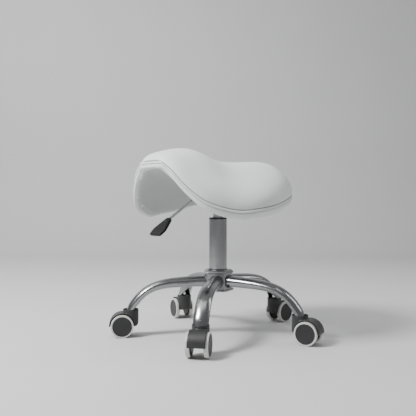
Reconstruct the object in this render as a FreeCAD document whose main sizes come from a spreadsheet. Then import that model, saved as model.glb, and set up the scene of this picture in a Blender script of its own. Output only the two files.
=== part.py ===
import FreeCAD, Part
import math
import os
import re

import Sketcher

# Height-adjustable saddle stool on a five-arm castor base.  Millimetres, +Z up.  The origin is on
# the floor under the column's axis, and the seat's arched end with its lever points to -Y.

V = FreeCAD.Vector
doc = FreeCAD.newDocument("SaddleStool")
sheet = doc.addObject("Spreadsheet::Sheet", "Dims")

DIMENSIONS = {
    # five-arm base
    "arm_count": 5,
    "hub_apothem": 34.0,        # centre to flat face of the five-sided hub block
    "hub_bottom": 127.0,
    "hub_height": 45.0,
    "flange_apothem": 36.5,
    "flange_height": 9.0,
    "flange_bevel": 6.0,
    "foot_plate_apothem": 36.5,
    "foot_plate_height": 5.0,
    "arm_width": 40.0,
    "arm_depth_hub": 32.0,
    "arm_depth_end": 23.0,
    "arm_wall": 2.0,
    "arm_end_height": 72.4,
    "notch_height": 30.0,
    "notch_reach": 26.0,
    # castors
    "castor_circle": 242.5,
    "castor_trail": 23.2,
    "wheel_radius": 31.0,
    "wheel_outer_face": 28.5,
    "wheel_inner_face": 15.0,
    "core_radius": 26.0,
    "tread_inner_face": 17.0,
    "axle_radius": 3.0,
    "running_gap": 0.05,
    "hood_web_half": 13.2,
    "hood_half_width": 22.5,
    "hood_radius": 35.5,
    "hood_gap": 2.2,
    "hood_foot": 30.0,
    "hood_corner": 10.0,
    "axle_boss_radius": 7.0,
    "cup_radius": 21.6,
    "cup_bore": 20.3,
    "cup_rim": 75.0,
    "cup_depth": 4.6,
    "stem_radius": 5.0,
    "stem_foot": 40.0,
    "stem_top": 83.0,
    "socket_radius": 7.0,
    "socket_bottom": 73.0,
    "socket_height": 12.0,
    # column and gas spring
    "tube_radius": 25.0,
    "tube_wall": 1.5,
    "column_foot": 126.0,
    "tube_top": 321.0,
    "bush_top": 326.0,
    "bush_foot": 240.0,
    "cylinder_radius": 14.0,
    "cylinder_wall": 1.5,
    "cylinder_foot": 200.0,
    "cylinder_shoulder": 380.0,
    "cone_top": 412.0,
    "cone_top_radius": 13.2,
    "rod_radius": 5.0,
    "rod_hole_gap": 1.5,
    "rod_foot": 119.0,
    "rod_top": 300.0,
    "piston_radius": 12.0,
    "piston_length": 10.0,
    "bearing_bottom": 130.0,
    "bearing_height": 6.0,
    "bearing_radius": 16.0,
    "buffer_height": 16.0,
    "buffer_radius": 11.0,
    "clip_foot": 120.4,
    "clip_gauge": 1.5,
    "clip_width": 4.0,
    "valve_pin_radius": 3.0,
    "valve_pin_foot": 386.0,
    "valve_pin_top": 417.2,
    # seat carrier and lever
    "plate_half_x": 62.0,
    "plate_half_y": 74.0,
    "plate_top": 424.0,
    "plate_thickness": 3.0,
    "channel_bottom": 402.0,
    "channel_half": 20.0,       # middle of the channel to the middle of each cheek
    "channel_length": 86.0,
    "channel_front": -44.0,
    "channel_floor_length": 58.0,
    "channel_floor_front": -16.0,
    "sheet_gauge": 3.0,
    "window_half": 7.0,         # opening in the plate over the lever
    "window_length": 64.0,
    "window_front": -52.0,
    "bolt_x": 50.0,
    "bolt_y": 60.0,
    "bolt_radius": 3.0,
    "bolt_head_radius": 6.0,
    "bolt_head_height": 5.0,
    "nut_radius": 4.2,
    "socket_wall": 3.0,
    "lever_radius": 3.2,
    "lever_slope": 31.6,
    "pivot_y": -30.0,
    "pivot_z": 414.4,
    "lever_neck_y": -176.0,
    "lever_pin_radius": 2.5,
    "lever_pin_length": 45.0,
    "lever_boss_wall": 3.0,
    "lever_boss_width": 16.0,
    "lever_inner_end": 9.0,
    "lever_bend_run": 10.0,
    "paddle_droop": 8.0,        # the paddle's further slope below the rod
    "paddle_sink": 16.0,        # length of rod inside the paddle
    "board_thickness": 10.0,
    "rim_inset": 13.0,
    "lining_thickness": 1.6,
}
for row, (alias, value) in enumerate(DIMENSIONS.items(), start=1):
    sheet.set("A%d" % row, alias)
    sheet.set("B%d" % row, str(value))
    sheet.setAlias("B%d" % row, alias)
doc.recompute()

nodes = []      # every piece that is written out
PAST = 80.0     # length of a cutting tool that only has to reach past the piece


def size(expression):
    """The value of an expression on the sheet's cells."""
    return float(sheet.evalExpression(expression))


def linked(expression):
    """The same expression as seen from another object of the document."""
    def from_outside(match):
        word = match.group()
        return "Dims." + word if word in DIMENSIONS else word
    return re.sub(r"[a-z_]+", from_outside, expression)


def bind(item, **sizes):
    """Tie properties of an object to the sheet; base_x stands for Placement.Base.x."""
    for prop, expression in sizes.items():
        path = "Placement.Base." + prop[-1] if prop.startswith("base_") else prop
        item.setExpression(path, linked(expression))
    return item


def keep(piece, name):
    piece.Label = name
    nodes.append(piece)
    return piece


def outline(body, plane, corners):
    """A closed sketch of straight edges on one of the body's own origin planes."""
    sketch = body.newObject("Sketcher::SketchObject", "Outline")
    sketch.AttachmentSupport = (next(f for f in body.Origin.OriginFeatures if f.Role == plane), [""])
    sketch.MapMode = "FlatFace"
    spots = [V(size(a), size(b), 0) for a, b in corners]
    count = len(spots)
    for i in range(count):
        sketch.addGeometry(Part.LineSegment(spots[i], spots[(i + 1) % count]), False)
    for i in range(count):
        sketch.addConstraint(Sketcher.Constraint("Coincident", i, 2, (i + 1) % count, 1))
    for i, corner in enumerate(corners):
        for kind, axis, value, text in (("DistanceX", -2, spots[i].x, corner[0]),
                                        ("DistanceY", -1, spots[i].y, corner[1])):
            if abs(value) < 1e-9:
                sketch.addConstraint(Sketcher.Constraint("PointOnObject", i, 1, axis))
            else:
                number = sketch.addConstraint(Sketcher.Constraint(kind, -1, 1, i, 1, value))
                sketch.setExpression("Constraints[%d]" % number, linked(text))
    return sketch


def turned(name, corners, plane="XZ_Plane", axis="V_Axis"):
    """A piece turned about the sketch's axis, from its half section."""
    body = doc.addObject("PartDesign::Body", name)
    sketch = outline(body, plane, corners)
    turn = body.newObject("PartDesign::Revolution", "Turn")
    turn.Profile = sketch
    turn.ReferenceAxis = (sketch, [axis])
    turn.Angle = 360
    doc.recompute()
    return body


def ring(name, inner, outer, bottom, top):
    return turned(name, [(inner, bottom), (outer, bottom), (outer, top), (inner, top)])


def extruded(name, plane, corners, length, midplane=False):
    """A piece of one outline; the pad is centred on its plane or rises from it."""
    body = doc.addObject("PartDesign::Body", name)
    pad = body.newObject("PartDesign::Pad", "Pad")
    pad.Profile = outline(body, plane, corners)
    bind(pad, Length=length)
    pad.Midplane = midplane
    doc.recompute()
    return body


def five_sided(apothem):
    """Corners of the hub's outline, with one flat across each arm, as sheet expressions."""
    corners = []
    for degrees in ARM_ANGLES:
        degrees += 180 / len(ARM_ANGLES)
        reach = "(%s)/cos(%g)" % (apothem, 180 / len(ARM_ANGLES))
        corners.append(("%s*%.9f" % (reach, math.cos(math.radians(degrees))),
                        "%s*%.9f" % (reach, math.sin(math.radians(degrees)))))
    return corners


def rod_between(name, radius, start, end):
    """A straight round bar between two points."""
    bar = bind(doc.addObject("Part::Cylinder", name), Radius=radius)
    bar.Height = (end - start).Length
    bar.Placement = FreeCAD.Placement(start, FreeCAD.Rotation(V(0, 0, 1), end - start))
    return bar


def cylinder(name, radius, height, base=V(0, 0, 0), direction=V(0, 0, 1)):
    bar = bind(doc.addObject("Part::Cylinder", name), Radius=radius, Height=height)
    bar.Placement = FreeCAD.Placement(base, FreeCAD.Rotation(V(0, 0, 1), direction))
    return bar


def cut(name, base, tool):
    piece = doc.addObject("Part::Cut", name)
    piece.Base = base
    piece.Tool = tool
    doc.recompute()
    return piece


def fuse(name, *shapes):
    piece = doc.addObject("Part::MultiFuse", name)
    piece.Shapes = list(shapes)
    piece.Refine = True
    doc.recompute()
    return piece


def shaped(name, shape):
    piece = doc.addObject("Part::Feature", name)
    piece.Shape = shape
    return piece


def placed(name, forms, base=V(0, 0, 0), degrees=0.0):
    """One more of a piece that is made once and used several times."""
    piece = doc.addObject("Part::Compound", name)
    piece.Links = forms if isinstance(forms, list) else [forms]
    piece.Placement = FreeCAD.Placement(base, FreeCAD.Rotation(V(0, 0, 1), degrees))
    doc.recompute()
    return piece


# ---------------------------------------------------------------- five-arm base

# The first arm stands 36 degrees from -Y; one arm points straight back along +Y.
ARM_ANGLES = [-54.0 + 72.0 * k for k in range(int(size("arm_count")))]


def hub():
    """Cast five-sided block with a wider flange on top and a foot plate below, bored for the column."""
    block = extruded("HubBlock", "XY_Plane", five_sided("hub_apothem"), "hub_height")
    bind(block, base_z="hub_bottom")
    flange = extruded("HubFlange", "XY_Plane", five_sided("flange_apothem"), "flange_height")
    bind(flange, base_z="hub_bottom + hub_height")
    foot = extruded("HubFoot", "XY_Plane", five_sided("foot_plate_apothem"), "foot_plate_height")
    bind(foot, base_z="hub_bottom - foot_plate_height")
    doc.recompute()
    solid = fuse("HubSolid", block, flange, foot)
    chamfer = doc.addObject("Part::Chamfer", "HubEdges")
    chamfer.Base = solid
    top = size("hub_bottom + hub_height + flange_height")
    bevel = size("flange_bevel")
    chamfer.Edges = [(i + 1, bevel, bevel) for i, edge in enumerate(solid.Shape.Edges)
                     if all(abs(v.Z - top) < 1e-6 for v in edge.Vertexes)]
    doc.recompute()
    bore = cylinder("HubBore", "tube_radius", "%g" % PAST)
    bind(bore, base_z="column_foot")
    rod_hole = cylinder("HubRodHole", "rod_radius + rod_hole_gap", "column_foot")
    keep(cut("Hub", chamfer, fuse("HubBores", bore, rod_hole)), "base_hub")


# Side view of an arm's centre line: distance from the column, height and share of the taper.
ARM_LINE = [(28.0, 149.0), (70.0, 148.4), (107.0, 146.6), (130.0, 144.8), (150.0, 142.0), (168.0, 137.8),
            (185.0, 131.6), (202.0, 122.0), (217.0, 109.0), (229.5, 94.5), (238.0, 82.0), (242.6, 69.0)]


def arm_loft(inset):
    """Oval tube along the arm's centre line, its depth tapering towards the castor."""
    path = [V(r, 0, z) for r, z in ARM_LINE]
    total = sum((b - a).Length for a, b in zip(path, path[1:]))
    gone = 0.0
    rings = []
    for i, spot in enumerate(path):
        before = path[max(i - 1, 0)]
        after = path[min(i + 1, len(path) - 1)]
        if i:
            gone += (spot - before).Length
        along = (after - before).normalize()
        taper = min(1.0, 1.35 * gone / total)
        depth = size("arm_depth_hub") + taper * (size("arm_depth_end") - size("arm_depth_hub"))
        oval = Part.Ellipse(V(0, 0, 0), size("arm_width") / 2 - inset, depth / 2 - inset)
        turn = FreeCAD.Rotation(V(0, 1, 0), along.cross(V(0, 1, 0)) * -1, along, "ZXY")
        edge = oval.toShape()
        edge.Placement = FreeCAD.Placement(spot, turn)
        rings.append(Part.Wire([edge]))
    return Part.makeLoft(rings, True, False)


def arms():
    """Five bent oval tubes, welded to the hub's flats and notched on the inside over the castor."""
    tube = shaped("ArmSolid", arm_loft(0.0))
    hollow = shaped("ArmHollow", arm_loft(size("arm_wall")))
    inner = bind(doc.addObject("Part::Box", "ArmHubEnd"), Length="hub_apothem", Width="2*arm_width",
                 Height="2*hub_height")
    bind(inner, base_y="-arm_width", base_z="hub_bottom - hub_height/2")
    below = bind(doc.addObject("Part::Box", "ArmFloorEnd"), Length="2*arm_width", Width="2*arm_width",
                 Height="arm_width")
    bind(below, base_x="castor_circle - arm_width", base_y="-arm_width", base_z="arm_end_height - arm_width")
    seat = cylinder("ArmSocketSeat", "socket_radius", "socket_height + 3", V(size("castor_circle"), 0, 0))
    bind(seat, base_z="socket_bottom - 3")
    notch = extruded("ArmNotch", "YZ_Plane", [("-arm_width/2 + 1", "arm_end_height - 1"),
                                              ("arm_width/2 - 1", "arm_end_height - 1"),
                                              ("0", "arm_end_height + notch_height")], "notch_reach")
    bind(notch, base_x="castor_circle - notch_reach - 2")
    doc.recompute()
    form = cut("ArmForm", tube, fuse("ArmTools", hollow, inner, below, seat, notch))
    for number, degrees in enumerate(ARM_ANGLES, start=1):
        keep(placed("Arm%d" % number, form, degrees=degrees), "base_arm_%d" % number)
    sleeve = ring("CastorSocket", "stem_radius", "socket_radius", "socket_bottom",
                  "socket_bottom + socket_height")
    sleeves = [placed("Socket%d" % n, sleeve, castor_spot(a), a) for n, a in enumerate(ARM_ANGLES, start=1)]
    keep(placed("Sockets", sleeves), "castor_sockets")


def castor_spot(degrees):
    reach = size("castor_circle")
    return V(reach * math.cos(math.radians(degrees)), reach * math.sin(math.radians(degrees)), 0)


# ---------------------------------------------------------------- castors (swivel axis on Z, trailing to +X)


def castor_forms():
    """The pieces of one twin-wheel castor, each made once."""
    trail = size("castor_trail")
    height = size("wheel_radius")
    axle_spot = V(trail, 0, height)
    across = V(0, 1, 0)

    stem = turned("Stem", [("0", "stem_foot"), ("stem_radius", "stem_foot"), ("stem_radius", "stem_top - 1"),
                           ("stem_radius - 1", "stem_top"), ("0", "stem_top")])

    # Hood: a round cup over a web between the wheels, with a curved fender behind.
    cup = cylinder("HoodCup", "cup_radius", "cup_rim - hood_foot")
    bind(cup, base_z="hood_foot")
    fender = cylinder("HoodFender", "hood_radius", "2*hood_half_width",
                      axle_spot - across * size("hood_half_width"), across)
    web = cylinder("HoodWeb", "wheel_radius + hood_gap + 1", "2*hood_web_half",
                   axle_spot - across * size("hood_web_half"), across)
    bridge = bind(doc.addObject("Part::Box", "HoodBridge"), Length="castor_trail", Height="hood_foot + 5",
                  Width="2*hood_half_width - 6")
    bind(bridge, base_z="wheel_radius", base_y="3 - hood_half_width")
    below = bind(doc.addObject("Part::Box", "HoodBelow"), Length="2*hood_radius + 2",
                 Width="4*hood_half_width", Height="2*hood_foot", base_x="castor_trail - hood_radius - 1",
                 base_y="-2*hood_half_width", base_z="-hood_foot")
    upper = cut("HoodUpper", fuse("HoodSides", fender, web), below)
    spaces = []
    for side in (-1, 1):
        start = axle_spot + across * side * size("hood_web_half")
        spaces.append(cylinder("WheelSpace%d" % (side + 2), "wheel_radius + hood_gap", "wheel_radius",
                               start, across * side))
    boss = cylinder("HoodBoss", "axle_boss_radius", "2*hood_web_half",
                    axle_spot - across * size("hood_web_half"), across)
    corner = bind(doc.addObject("Part::Box", "HoodCorner"), Length="hood_corner", Width="2*cup_radius",
                  Height="hood_corner", base_x="-cup_radius", base_y="-cup_radius", base_z="hood_foot")
    rounding_spot = V(size("hood_corner - cup_radius"), -PAST / 2, size("hood_foot + hood_corner"))
    rounding = cylinder("HoodRounding", "hood_corner", "%g" % PAST, rounding_spot, across)
    outer = cut("HoodOuter", fuse("HoodShell", cup, upper, bridge),
                fuse("WheelSpaces", cut("HoodToe", corner, rounding), *spaces))
    recess = cylinder("HoodRecess", "cup_bore", "cup_depth + 1")
    bind(recess, base_z="cup_rim - cup_depth")
    stem_bore = cylinder("HoodStemBore", "stem_radius + running_gap", "cup_rim - stem_foot + 1")
    bind(stem_bore, base_z="stem_foot - 0.5")
    axle_bore = cylinder("HoodAxleBore", "axle_radius", "%g" % PAST, axle_spot - across * (PAST / 2), across)
    hood = cut("Hood", fuse("HoodBody", outer, boss), fuse("HoodBores", recess, stem_bore, axle_bore))

    axle = cylinder("Axle", "axle_radius", "2*wheel_outer_face - 5",
                    axle_spot - across * (size("wheel_outer_face") - 2.5), across)

    # Wheel: moulded core with a dished outer face, and a soft tread ring pressed over it.
    core = turned("Core", [("axle_radius + running_gap", "wheel_inner_face"),
                           ("core_radius - 2", "wheel_inner_face"),
                           ("core_radius - 2", "tread_inner_face"), ("core_radius", "tread_inner_face"),
                           ("core_radius", "wheel_outer_face - 0.6"), ("core_radius - 0.6", "wheel_outer_face"),
                           ("core_radius - 3", "wheel_outer_face"), ("core_radius - 4.5", "wheel_outer_face - 1.6"),
                           ("9", "wheel_outer_face - 2.4"), ("8", "wheel_outer_face - 1.2"),
                           ("axle_radius + running_gap", "wheel_outer_face - 1.2")])
    tread = turned("Tread", [("core_radius", "tread_inner_face"), ("wheel_radius - 2.5", "tread_inner_face"),
                             ("wheel_radius - 0.7", "tread_inner_face + 0.9"),
                             ("wheel_radius", "tread_inner_face + 3"), ("wheel_radius", "wheel_outer_face - 4"),
                             ("wheel_radius - 0.7", "wheel_outer_face - 1.8"),
                             ("wheel_radius - 2.5", "wheel_outer_face - 0.6"),
                             ("core_radius", "wheel_outer_face - 0.6")])
    wheel = {}
    for side, turn in (("left", -90), ("right", 90)):
        for part, form in (("core", core), ("tread", tread)):
            piece = doc.addObject("Part::Compound", "Wheel_%s_%s" % (side, part))
            piece.Links = [form]
            piece.Placement = FreeCAD.Placement(axle_spot, FreeCAD.Rotation(V(1, 0, 0), turn))
            wheel["%s_%s" % (side, part)] = piece
    doc.recompute()
    return {"stem": stem, "hood": hood, "axle": axle, **wheel}


def castors():
    forms = castor_forms()
    for number, degrees in enumerate(ARM_ANGLES, start=1):
        for part, form in forms.items():
            name = "castor_%d_%s" % (number, part)
            keep(placed(name.title().replace("_", ""), form, castor_spot(degrees), degrees), name)


# ---------------------------------------------------------------- column and gas spring


def column():
    """Polished outer tube in the hub, with a plastic guide bush that the gas cylinder slides in."""
    keep(turned("ColumnTube", [("rod_radius + 1.2", "column_foot"), ("tube_radius", "column_foot"),
                               ("tube_radius", "tube_top"), ("tube_radius - tube_wall", "tube_top"),
                               ("tube_radius - tube_wall", "bearing_bottom"),
                               ("rod_radius + 1.2", "bearing_bottom")]), "column_tube")
    inside = "tube_radius - tube_wall"
    keep(turned("GuideBush", [("cylinder_radius + running_gap", "bush_foot"), (inside, "bush_foot"),
                              (inside, "tube_top"), ("tube_radius", "tube_top"),
                              ("tube_radius", "bush_top - 1"), ("tube_radius - 1", "bush_top"),
                              ("cylinder_radius + running_gap", "bush_top")]), "guide_bush")


def gas_spring():
    """Gas cylinder with a tapered top, its piston rod, thrust bearing, buffer, clip and valve pin."""
    bore = "cylinder_radius - cylinder_wall"
    pin_bore = "valve_pin_radius + running_gap"
    keep(turned("GasCylinder", [("rod_radius + running_gap", "cylinder_foot"),
                                ("cylinder_radius", "cylinder_foot"),
                                ("cylinder_radius", "cylinder_shoulder"), ("cone_top_radius", "cone_top"),
                                (pin_bore, "cone_top"), (pin_bore, "cylinder_shoulder"),
                                (bore, "cylinder_shoulder - 4"), (bore, "cylinder_foot + 8"),
                                ("rod_radius + running_gap", "cylinder_foot + 8")]), "gas_cylinder")
    piston_foot = "rod_top - piston_length"
    keep(turned("PistonRod", [("0", "rod_foot"), ("rod_radius - 1", "rod_foot"), ("rod_radius", "rod_foot + 1"),
                              ("rod_radius", piston_foot), ("piston_radius", piston_foot),
                              ("piston_radius", "rod_top"), ("0", "rod_top")]), "piston_rod")
    keep(ring("ThrustBearing", "rod_radius", "bearing_radius", "bearing_bottom", "bearing_bottom + bearing_height"),
         "thrust_bearing")
    buffer_foot = "bearing_bottom + bearing_height"
    keep(ring("RubberBuffer", "rod_radius", "buffer_radius", buffer_foot, buffer_foot + " + buffer_height"),
         "rubber_buffer")
    keep(ring("RetainingClip", "rod_radius", "rod_radius + clip_width", "clip_foot", "clip_foot + clip_gauge"),
         "retaining_clip")
    keep(turned("ValvePin", [("0", "valve_pin_foot"), ("valve_pin_radius", "valve_pin_foot"),
                             ("valve_pin_radius", "valve_pin_top - 1"), ("valve_pin_radius - 1", "valve_pin_top"),
                             ("0", "valve_pin_top")]), "release_pin")


# ---------------------------------------------------------------- seat carrier and lever


def carrier():
    """Pressed mounting plate with a channel welded below it, and the tapered socket on the gas spring."""
    plate = bind(doc.addObject("Part::Box", "Plate"), Length="2*plate_half_x", Width="2*plate_half_y",
                 Height="plate_thickness", base_x="-plate_half_x", base_y="-plate_half_y",
                 base_z="plate_top - plate_thickness")
    cheeks = []
    for side, label in ((-1, "Left"), (1, "Right")):
        cheek = bind(doc.addObject("Part::Box", "Cheek" + label), Length="sheet_gauge", Width="channel_length",
                     Height="plate_top - plate_thickness - channel_bottom",
                     base_x="%d*channel_half - sheet_gauge/2" % side,
                     base_y="channel_front", base_z="channel_bottom")
        cheeks.append(cheek)
    floor = bind(doc.addObject("Part::Box", "ChannelFloor"), Length="2*channel_half - sheet_gauge",
                 Width="channel_floor_length", Height="sheet_gauge", base_x="sheet_gauge/2 - channel_half",
                 base_y="channel_floor_front", base_z="channel_bottom")
    holes = bolt_holes("PlateHole", "1.1*bolt_radius")
    cone_hole = cylinder("ChannelHole", "cylinder_radius + socket_wall", "3*sheet_gauge")
    bind(cone_hole, base_z="channel_bottom - sheet_gauge")
    pivot_hole = cylinder("PivotHole", "lever_pin_radius", "%g" % PAST,
                          V(-PAST / 2, size("pivot_y"), size("pivot_z")), V(1, 0, 0))
    window = bind(doc.addObject("Part::Box", "LeverWindow"), Length="2*window_half", Width="window_length",
                  Height="3*plate_thickness", base_x="-window_half", base_y="window_front",
                  base_z="plate_top - 2*plate_thickness")
    keep(cut("MountingPlate", fuse("PlateBody", plate, floor, *cheeks),
             fuse("PlateHoles", cone_hole, pivot_hole, window, *holes)), "mounting_plate")
    keep(turned("TaperSocket", [("cylinder_radius + 0.02", "cylinder_shoulder - 6"),
                                ("cylinder_radius + socket_wall", "cylinder_shoulder - 6"),
                                ("cylinder_radius + socket_wall", "cone_top - 1"),
                                ("cone_top_radius + 0.06", "cone_top - 1"),
                                ("cylinder_radius + 0.02", "cylinder_shoulder")]), "taper_socket")


def bolt_spots():
    """Where the four seat bolts stand."""
    return [V(x * size("bolt_x"), y * size("bolt_y"), 0) for x in (-1, 1) for y in (-1, 1)]


def bolt_holes(name, radius):
    """Tools for the four holes, through plate, lining and board alike."""
    base = V(0, 0, size("plate_top") - PAST / 2)
    return [cylinder("%s%d" % (name, i), radius, "%g" % PAST, spot + base) for i, spot in enumerate(bolt_spots())]


# Paddle: reach from its neck, half width, half thickness.
PADDLE_RINGS = [(0, 5.8, 5.8), (8, 8.4, 6.8), (24, 14.0, 7.0), (38, 18.0, 6.6), (50, 18.4, 6.0), (62, 16.4, 5.2)]


def lever():
    """Bent steel rod over the valve pin, hinged on a cross pin, with a moulded paddle at its outer end."""
    slope = math.radians(size("lever_slope"))
    out = V(0, -math.cos(slope), -math.sin(slope))
    pivot = V(0, size("pivot_y"), size("pivot_z"))
    bend = pivot - out * (size("lever_bend_run") / math.cos(slope))
    neck = pivot + out * ((size("lever_neck_y") - size("pivot_y")) / out.y)
    inner = rod_between("LeverInner", "lever_radius", V(0, size("lever_inner_end"), bend.z), bend)
    outer = rod_between("LeverOuter", "lever_radius", bend, neck + out * size("paddle_sink"))
    elbow = bind(doc.addObject("Part::Sphere", "LeverElbow"), Radius="lever_radius")
    elbow.Placement.Base = bend
    sideways = V(1, 0, 0)
    boss = cylinder("LeverBoss", "lever_pin_radius + lever_boss_wall", "lever_boss_width",
                    pivot - sideways * size("lever_boss_width/2"), sideways)
    pin_bore = cylinder("LeverPinBore", "lever_pin_radius + running_gap", "%g" % PAST,
                        pivot - sideways * (PAST / 2), sideways)
    keep(cut("LeverRod", fuse("LeverBars", inner, outer, elbow, boss), pin_bore), "lever_rod")
    keep(cylinder("LeverPin", "lever_pin_radius", "lever_pin_length",
                  pivot - sideways * size("lever_pin_length/2"), sideways), "lever_pivot_pin")

    # Paddle: flared plan view, tapering thickness, ending in a slanted flat.
    droop = math.radians(size("lever_slope + paddle_droop"))
    along = V(0, -math.cos(droop), -math.sin(droop))
    up = V(0, -math.sin(droop), math.cos(droop))
    rings = []
    for reach, half_width, half_thick in PADDLE_RINGS:
        centre = neck + along * reach
        oval = Part.Ellipse(V(0, 0, 0), half_width, half_thick).toShape()
        oval.Placement = FreeCAD.Placement(centre, FreeCAD.Rotation(V(1, 0, 0), up, along * -1, "ZXY"))
        rings.append(Part.Wire([oval]))
    paddle = shaped("PaddleSolid", Part.makeLoft(rings, True, False))
    rod_bore = rod_between("PaddleBore", "lever_radius", pivot, neck + out * size("paddle_sink"))
    keep(cut("LeverPaddle", paddle, rod_bore), "lever_paddle")


# ---------------------------------------------------------------- saddle seat

# Cross sections from the arched end (-Y) to the back: place along the seat, half width and height of
# the lower edge, underside at the middle, top at the middle, then the top at three shares of the width.
STATIONS = [
    (236, 46, 455, 456, 476, 475, 471, 466),
    (229, 64, 440, 455, 485, 482, 469, 454),
    (220, 87, 411, 454, 491, 486, 464, 433),
    (205, 111, 382, 452, 497, 489, 455, 406),
    (180, 138, 352, 449, 504, 490, 441, 382),
    (150, 157, 337, 446, 510, 491, 436, 370),
    (120, 172, 328, 441, 509, 486, 430, 363),
    (95, 185, 325, 436, 501, 477, 424, 361),
    (60, 199, 329, 431, 485, 468, 424, 365),
    (20, 205, 335, 429, 478, 470, 432, 372),
    (-30, 198, 345, 428, 475, 477, 447, 386),
    (-80, 183, 359, 427, 475, 480, 457, 398),
    (-120, 160, 369, 423, 474, 476, 455, 404),
    (-150, 130, 379, 417, 464, 464, 446, 410),
    (-172, 92, 389, 410, 446, 445, 435, 414),
    (-184, 50, 396, 402, 426, 425, 421, 412),
]
CHEEK, SHOULDER, SIDE = 0.45, 0.78, 1.035       # where the three heights of the top are taken
UNDERSIDE = [(0.0, 0.0), (0.32, 0.03), (0.55, 0.27), (0.78, 0.61), (1.0, 1.0)]     # width share, drop share
BAND_SHARE = 0.45       # the border's fullest line, between the lower edge and the side


def arc_of(points):
    curve = Part.BSplineCurve()
    curve.interpolate(points)
    return curve.toShape()


def both_sides(half, y):
    """Mirror the (x, z) points of a half section, from the left edge to the right."""
    left = [V(-x, y, z) for x, z in reversed(half) if x > 0]
    return left + [V(x, y, z) for x, z in half]


def underside(station, reach=1.0, lift=0.0, drop=0.0):
    """Half section of the seat's lower face out to a share of its half width."""
    _, half, edge, middle = station[:4]
    return [(half * share * reach, middle - fall * (middle - edge) * reach ** 1.6 + lift - drop)
            for share, fall in UNDERSIDE]


def closed_section(upper, lower, y):
    """Wire of an upper and a lower curve, closed by short straight sides where they don't meet."""
    top = both_sides(upper, y)
    bottom = both_sides(lower, y)
    edges = [arc_of(top)]
    if (top[-1] - bottom[-1]).Length > 1e-6:
        edges.append(Part.makeLine(top[-1], bottom[-1]))
    edges.append(arc_of(list(reversed(bottom))))
    if (top[0] - bottom[0]).Length > 1e-6:
        edges.append(Part.makeLine(bottom[0], top[0]))
    return Part.Wire(edges)


def seat_form():
    """The whole upholstered seat, from its lower edge over the top."""
    wires = []
    for station in STATIONS:
        place, half, edge, middle, top, cheek, shoulder, side = station
        lower = underside(station)
        upper = [(0.0, top), (half * CHEEK, cheek), (half * SHOULDER, shoulder), (half * SIDE, side),
                 (half * SIDE, edge + BAND_SHARE * (side - edge)), (half, edge)]
        wires.append(closed_section(upper, lower, -place))
    return Part.makeLoft(wires, True, False)


def shell_form(lift, thickness, inset, trim):
    """A sheet that follows the underside, set in from the rim and trimmed at both ends."""
    wires = []
    for station in STATIONS[trim:-trim]:
        reach = 1 - inset / station[1]
        lower = underside(station, reach, lift=lift)
        upper = underside(station, reach, lift=lift + thickness)
        wires.append(closed_section(upper, lower, -station[0]))
    return Part.makeLoft(wires, True, False)


def seat():
    """Saddle-shaped board, foam pad and cover over it, lining below, and the bolts with their nuts."""
    inset = size("rim_inset")
    lining = size("lining_thickness")
    board = size("board_thickness")
    form = shaped("SeatForm", seat_form())
    cavity = shaped("SeatCavity", shell_form(-8.0, board + lining + 9.2, inset - 0.6, 1))
    keep(cut("SeatPad", form, cavity), "seat_pad")
    blank = shaped("BoardBlank", shell_form(lining + 0.4, board, inset, 1))
    board_holes = bolt_holes("BoardHole", "nut_radius + 0.2")
    keep(cut("SeatBoard", blank, fuse("BoardHoles", *board_holes)), "seat_board")
    sheet_form = shaped("LiningBlank", shell_form(0.2, lining, inset, 1))
    lining_holes = bolt_holes("LiningHole", "nut_radius + 0.2")
    keep(cut("UndersideCover", sheet_form, fuse("LiningHoles", *lining_holes)), "underside_cover")
    seat_face = "plate_top - plate_thickness"
    head = seat_face + " - bolt_head_height"
    tip = "plate_top + board_thickness + 1"
    bolt = turned("Bolt", [("0", head), ("bolt_head_radius", head), ("bolt_head_radius", seat_face),
                           ("bolt_radius", seat_face), ("bolt_radius", tip), ("0", tip)])
    nut = ring("Nut", "bolt_radius", "nut_radius", "plate_top + 2", "plate_top + 9")
    for name, form in (("mounting_bolts", bolt), ("t_nuts", nut)):
        group = [placed("%s%d" % (name, i), form, spot) for i, spot in enumerate(bolt_spots())]
        keep(placed(name.title(), group), name)


# ---------------------------------------------------------------- build, check and write

hub()
arms()
castors()
column()
gas_spring()
carrier()
lever()
seat()
doc.recompute()

faults = [o.Name for o in doc.Objects if "Invalid" in o.State or "Error" in o.State]
faults += [n.Label for n in nodes if n.Shape.isNull() or not n.Shape.isValid() or not n.Shape.Solids]
if faults:
    raise SystemExit("not built: " + ", ".join(faults))
os.makedirs("parts", exist_ok=True)
for piece in nodes:
    piece.Shape.exportStep("parts/%s.step" % piece.Label)
    print("%-24s %2d solids %10.0f mm3" % (piece.Label, len(piece.Shape.Solids), piece.Shape.Volume))
print(len(nodes), "nodes")
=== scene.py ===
import math

import bmesh
import bpy
from mathutils import Matrix, Vector, noise
from mathutils.bvhtree import BVHTree


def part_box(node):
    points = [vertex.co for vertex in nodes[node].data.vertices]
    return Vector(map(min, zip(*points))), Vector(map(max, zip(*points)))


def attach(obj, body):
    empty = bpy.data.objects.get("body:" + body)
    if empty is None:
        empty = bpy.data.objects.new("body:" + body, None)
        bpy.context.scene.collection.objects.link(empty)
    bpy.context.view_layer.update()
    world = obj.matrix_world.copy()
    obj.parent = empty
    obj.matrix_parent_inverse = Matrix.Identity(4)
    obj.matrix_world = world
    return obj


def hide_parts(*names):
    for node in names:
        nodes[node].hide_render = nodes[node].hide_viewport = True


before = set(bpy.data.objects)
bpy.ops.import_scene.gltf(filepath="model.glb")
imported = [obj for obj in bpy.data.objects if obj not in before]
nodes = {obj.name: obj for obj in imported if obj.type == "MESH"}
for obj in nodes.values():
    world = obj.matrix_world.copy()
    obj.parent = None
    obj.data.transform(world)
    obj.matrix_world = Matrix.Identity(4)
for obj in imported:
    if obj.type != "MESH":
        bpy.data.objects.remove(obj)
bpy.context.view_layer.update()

scene = bpy.context.scene

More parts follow.
